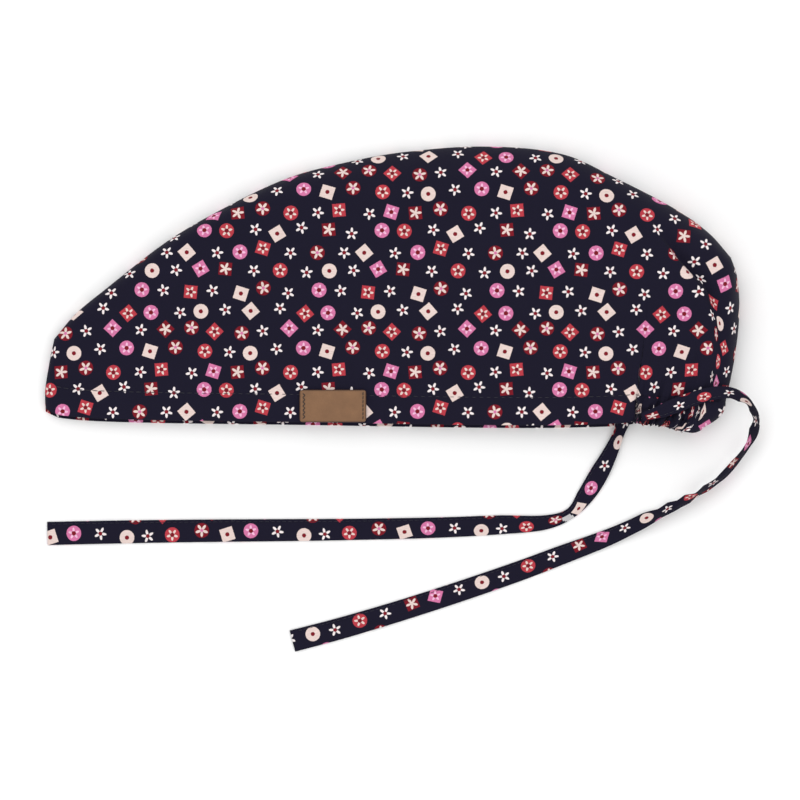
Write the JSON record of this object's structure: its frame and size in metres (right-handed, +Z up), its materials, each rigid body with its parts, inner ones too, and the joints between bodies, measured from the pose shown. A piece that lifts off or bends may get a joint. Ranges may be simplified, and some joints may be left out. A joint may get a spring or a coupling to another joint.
{
  "type": "surgical scrub cap",
  "caption": "Printed cotton scrub cap folded flat on its side, with an open mouth, a gathered elastic nape, a bare leather label and cloth ties.",
  "frame": {"origin": "on the floor, under the middle of the cap's box without its ties", "axes": "+X from the forehead edge to the back of the head, +Y from the mouth to the crown, +Z up through the two sides lying on each other"},
  "size_m": [0.3228, 0.2279, 0.026],
  "materials": {
    "printed_cotton": "plain-woven cotton with a small all-over print, matt",
    "tan_leather": "smooth tan leather, matt, lightly worn at the edges"
  },
  "bodies": {
    "root": {"side_panel_upper": "printed_cotton", "side_panel_under": "printed_cotton", "nape_casing": "printed_cotton", "leather_label": "tan_leather", "tie_near": "printed_cotton", "tie_far": "printed_cotton"}
  },
  "joints": []
}
